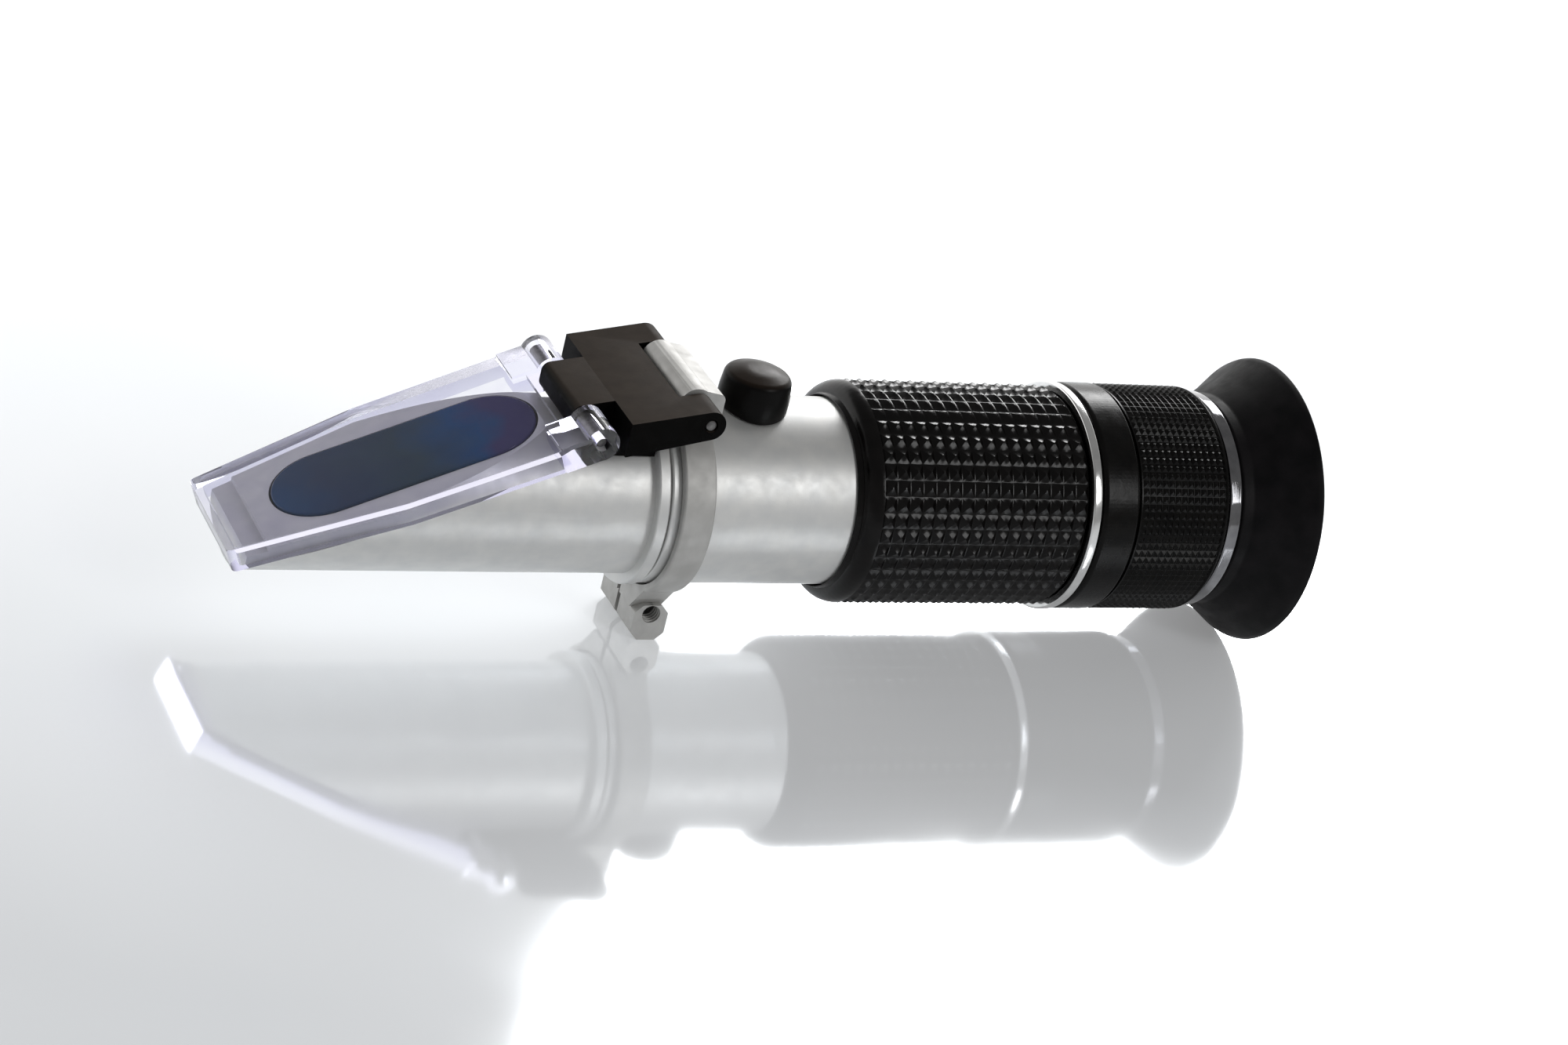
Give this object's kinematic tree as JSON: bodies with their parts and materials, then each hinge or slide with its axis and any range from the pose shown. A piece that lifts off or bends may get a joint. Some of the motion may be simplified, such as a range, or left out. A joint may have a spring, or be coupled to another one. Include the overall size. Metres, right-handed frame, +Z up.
{
  "type": "handheld refractometer",
  "caption": "Handheld brix refractometer with a sloping prism under a hinged clear plate, a clamp collar, rubber grip, focusing ring and flared eyecup.",
  "frame": {"origin": "centre of the footprint, on the surface that the clamp lug and the eyecup's rim stand on", "axes": "+X along the optical axis from the prism towards the eye, +Z up with the measuring face and its flap on top, +Y away from a viewer who has the eyecup on the right"},
  "size_m": [0.16, 0.042, 0.042],
  "materials": {
    "satin_aluminium": "satin turned and anodised",
    "clear_acrylic": "clear moulded acrylic, polished",
    "prism_glass": "polished optical glass over a dark blue backing",
    "optical_glass": "polished and coated",
    "black_plastic": "satin moulded",
    "black_rubber": "moulded, semi-gloss",
    "cup_rubber": "soft, matte",
    "bright_steel": "plain ground pins and screws",
    "brass": "turned",
    "optical_black": "matte black anodised"
  },
  "bodies": {
    "barrel": {"prism_housing": "satin_aluminium", "measuring_prism": "prism_glass", "aperture_stop": "optical_black", "clamp_collar": "satin_aluminium", "clamp_screw": "bright_steel", "hinge_pin": "bright_steel", "main_tube": "satin_aluminium", "tube_seal": "black_rubber", "calibration_bush": "brass", "reticle_tube": "optical_black", "reticle_disc": "optical_glass", "reticle_retainer": "optical_black", "grip_sleeve": "black_rubber", "tube_end_ring": "satin_aluminium", "guide_screw": "bright_steel"},
    "flap_arm": {"hinge_block": "black_plastic", "plate_pin": "bright_steel"},
    "cover": {"daylight_plate": "clear_acrylic"},
    "objective": {"objective_cell": "optical_black", "objective_lens": "optical_glass"},
    "calibration_screw": {"calibration_screw": "bright_steel"},
    "calibration_cap": {"calibration_cap": "black_rubber"},
    "eyepiece_slide": {"eyepiece_tube": "optical_black", "field_lens": "optical_glass", "lens_spacer": "optical_black", "eye_lens": "optical_glass", "lens_retainer": "optical_black"},
    "focusing_ring": {"focus_ring": "black_plastic", "eyecup_trim_ring": "satin_aluminium", "eyecup": "cup_rubber"}
  },
  "joints": [
    {"name": "flap_hinge", "type": "hinge", "parent": "barrel", "child": "flap_arm", "pos_m": [-0.0172, 0, 0.0376], "axis": [0, 1, 0], "range_deg": [0, 110]},
    {"name": "plate_align", "type": "hinge", "parent": "flap_arm", "child": "cover", "pos_m": [-0.0325, 0, 0.0346], "axis": [0, 1, 0], "range_deg": [0, 10]},
    {"name": "focus_turn", "type": "hinge", "parent": "eyepiece_slide", "child": "focusing_ring", "pos_m": [0.056, 0, 0.021], "axis": [1, 0, 0], "range_deg": [0, 270]},
    {"name": "focus_travel", "type": "slide", "parent": "barrel", "child": "eyepiece_slide", "axis": [1, 0, 0], "range_m": [0, 0.003]},
    {"name": "calibration_turn", "type": "hinge", "parent": "barrel", "child": "calibration_screw", "pos_m": [-0.0051, 0, 0.036], "axis": [0, 0, 1], "range_deg": [-360, 360]},
    {"name": "boundary_shift", "type": "slide", "parent": "barrel", "child": "objective", "axis": [0, 0, 1], "range_m": [-0.0005, 0.0005]},
    {"name": "cap_pull", "type": "slide", "parent": "barrel", "child": "calibration_cap", "axis": [0, 0, 1], "range_m": [0, 0.012]}
  ],
  "couplings": [
    {"joint": "focus_turn", "follows": "focus_travel", "rad_per_m": 1570.8},
    {"joint": "calibration_turn", "follows": "boundary_shift", "rad_per_m": 12566}
  ]
}
